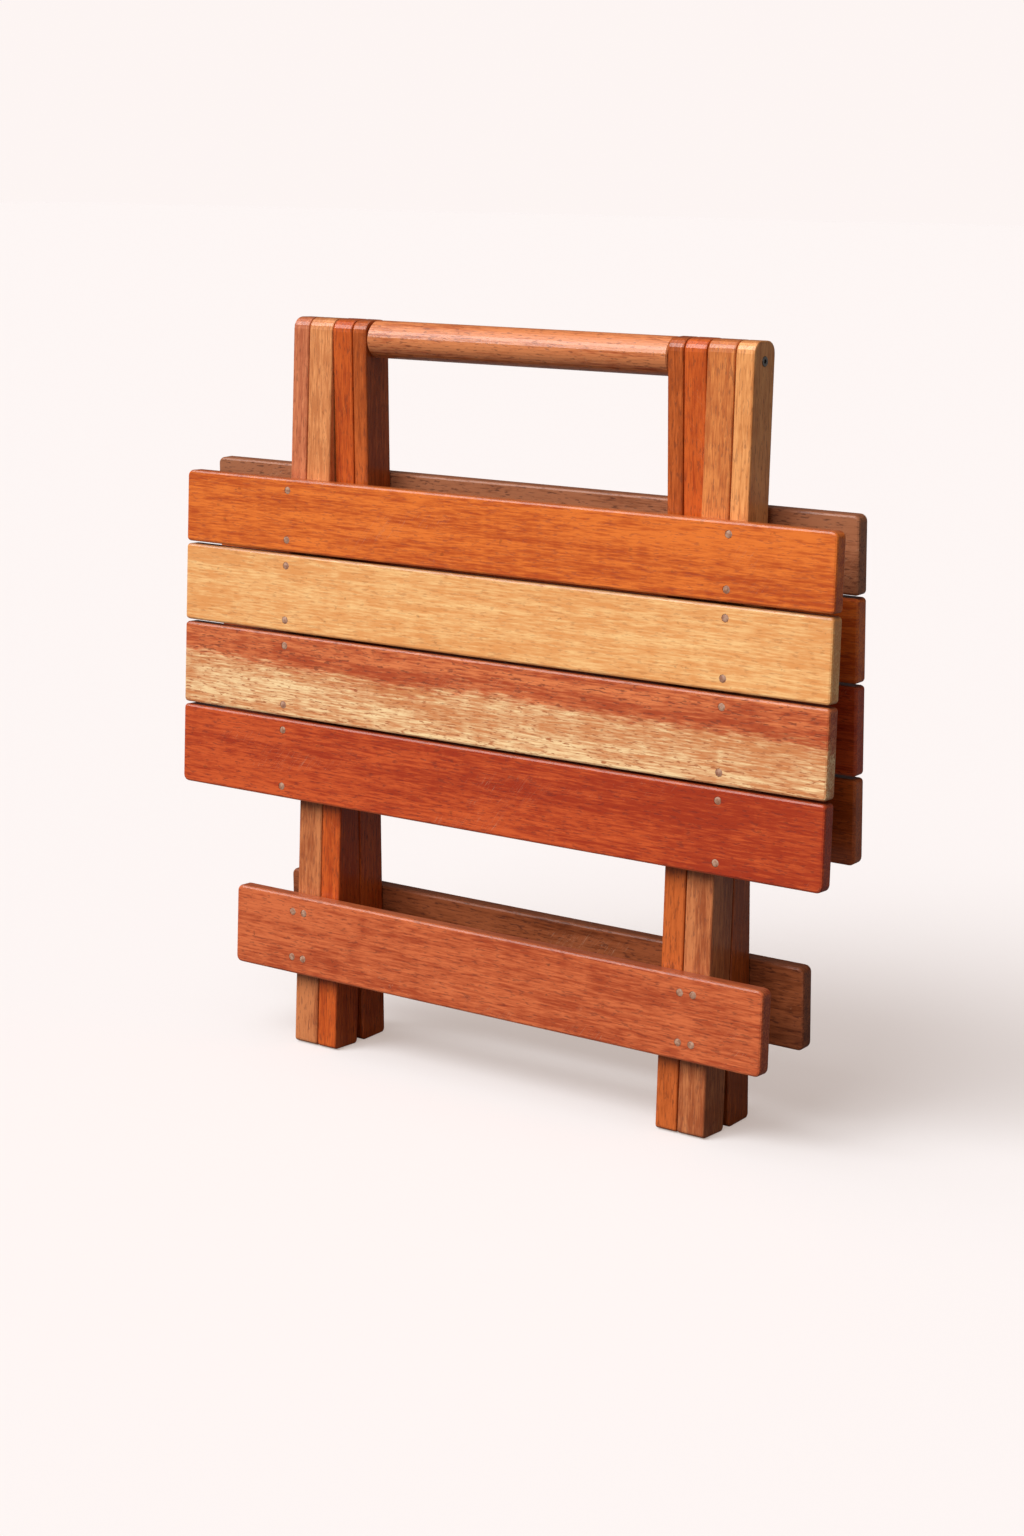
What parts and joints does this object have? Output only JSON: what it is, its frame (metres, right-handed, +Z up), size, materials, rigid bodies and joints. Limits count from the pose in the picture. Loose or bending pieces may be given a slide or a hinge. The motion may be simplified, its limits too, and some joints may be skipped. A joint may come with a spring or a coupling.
{
  "type": "folding tray table",
  "caption": "Folded wooden tray table: slatted trays on both faces and splayed leg frames, all hung from a carrying handle.",
  "frame": {"origin": "on the floor, under the middle of the bounding box, table folded", "axes": "+Z up, +X along the handle, -Y the front"},
  "size_m": [0.596, 0.0848, 0.5713],
  "materials": {
    "slat_orange_brown": "satin varnish",
    "slat_golden": "satin varnish",
    "slat_red_and_straw": "satin varnish",
    "slat_deep_red": "satin varnish",
    "wood_light_tan": "satin varnish",
    "wood_reddish": "satin varnish",
    "steel": "dull"
  },
  "bodies": {
    "handle": {"handle_dowel": "wood_light_tan", "pivot_pin_left": "steel", "pivot_pin_right": "steel"},
    "front_legs": {"front_crossbar": "wood_reddish", "front_leg_left": "wood_light_tan", "front_leg_right": "wood_light_tan", "front_leg_doubler_left": "wood_reddish", "front_leg_doubler_right": "slat_orange_brown"},
    "back_legs": {"back_crossbar": "wood_reddish", "back_leg_left": "wood_reddish", "back_leg_right": "wood_reddish", "back_leg_doubler_left": "wood_reddish", "back_leg_doubler_right": "wood_reddish"},
    "front_tray": {"front_tray_slat_1": "slat_orange_brown", "front_tray_slat_2": "slat_golden", "front_tray_slat_3": "slat_red_and_straw", "front_tray_slat_4": "slat_deep_red", "front_tray_batten_left": "wood_reddish", "front_tray_batten_right": "wood_light_tan", "front_tray_screw_left_1": "steel", "front_tray_screw_left_2": "steel", "front_tray_screw_left_3": "steel", "front_tray_screw_left_4": "steel", "front_tray_screw_left_5": "steel", "front_tray_screw_left_6": "steel", "front_tray_screw_left_7": "steel", "front_tray_screw_left_8": "steel", "front_tray_screw_right_1": "steel", "front_tray_screw_right_2": "steel", "front_tray_screw_right_3": "steel", "front_tray_screw_right_4": "steel", "front_tray_screw_right_5": "steel", "front_tray_screw_right_6": "steel", "front_tray_screw_right_7": "steel", "front_tray_screw_right_8": "steel"},
    "back_tray": {"back_tray_slat_1": "wood_reddish", "back_tray_slat_2": "slat_orange_brown", "back_tray_slat_3": "slat_deep_red", "back_tray_slat_4": "wood_reddish", "back_tray_batten_left": "slat_orange_brown", "back_tray_batten_right": "wood_reddish", "back_tray_screw_left_1": "steel", "back_tray_screw_left_2": "steel", "back_tray_screw_left_3": "steel", "back_tray_screw_left_4": "steel", "back_tray_screw_left_5": "steel", "back_tray_screw_left_6": "steel", "back_tray_screw_left_7": "steel", "back_tray_screw_left_8": "steel", "back_tray_screw_right_1": "steel", "back_tray_screw_right_2": "steel", "back_tray_screw_right_3": "steel", "back_tray_screw_right_4": "steel", "back_tray_screw_right_5": "steel", "back_tray_screw_right_6": "steel", "back_tray_screw_right_7": "steel", "back_tray_screw_right_8": "steel"}
  },
  "joints": [
    {"name": "front_legs_hinge", "type": "hinge", "parent": "handle", "child": "front_legs", "pos_m": [0, 0, 0.557], "axis": [-1, 0, 0], "range_deg": [0, 26]},
    {"name": "back_legs_hinge", "type": "hinge", "parent": "handle", "child": "back_legs", "pos_m": [0, 0, 0.557], "axis": [1, 0, 0], "range_deg": [0, 26]},
    {"name": "front_tray_hinge", "type": "hinge", "parent": "front_legs", "child": "front_tray", "pos_m": [0, 0, 0.557], "axis": [-1, 0, 0], "range_deg": [0, 62.2]},
    {"name": "back_tray_hinge", "type": "hinge", "parent": "back_legs", "child": "back_tray", "pos_m": [0, 0, 0.557], "axis": [1, 0, 0], "range_deg": [0, 62.2]}
  ]
}
